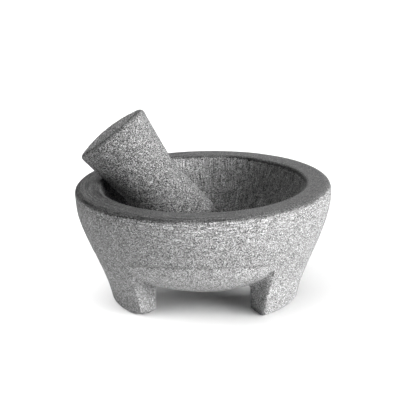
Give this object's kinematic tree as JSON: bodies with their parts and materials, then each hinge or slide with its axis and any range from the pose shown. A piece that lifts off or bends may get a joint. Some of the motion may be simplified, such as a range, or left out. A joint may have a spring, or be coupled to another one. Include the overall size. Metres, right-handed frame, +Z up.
{
  "type": "molcajete",
  "caption": "Granite molcajete: a deep flaring bowl with a smooth honed rim and short wedge legs carved from one block, with a loose double-ended pestle leaning in it.",
  "frame": {"origin": "on the bowl's axis, on the ground that the three feet stand on", "axes": "+Z up along the bowl's axis, -Y towards the front gap between two of the legs, +X to the right seen from the front, so the pestle leans to -X"},
  "size_m": [0.203, 0.203, 0.147],
  "materials": {
    "bowl_granite": "rough pecked speckled grey granite, honed smoother and darker on the rim",
    "pestle_granite": "rough pecked speckled grey granite"
  },
  "bodies": {
    "bowl": {"bowl": "bowl_granite"},
    "pestle": {"pestle": "pestle_granite"}
  },
  "joints": [
    {"name": "pestle_lift", "type": "slide", "parent": "bowl", "child": "pestle", "axis": [0, 0, 1], "range_m": [0, 0.09]}
  ]
}
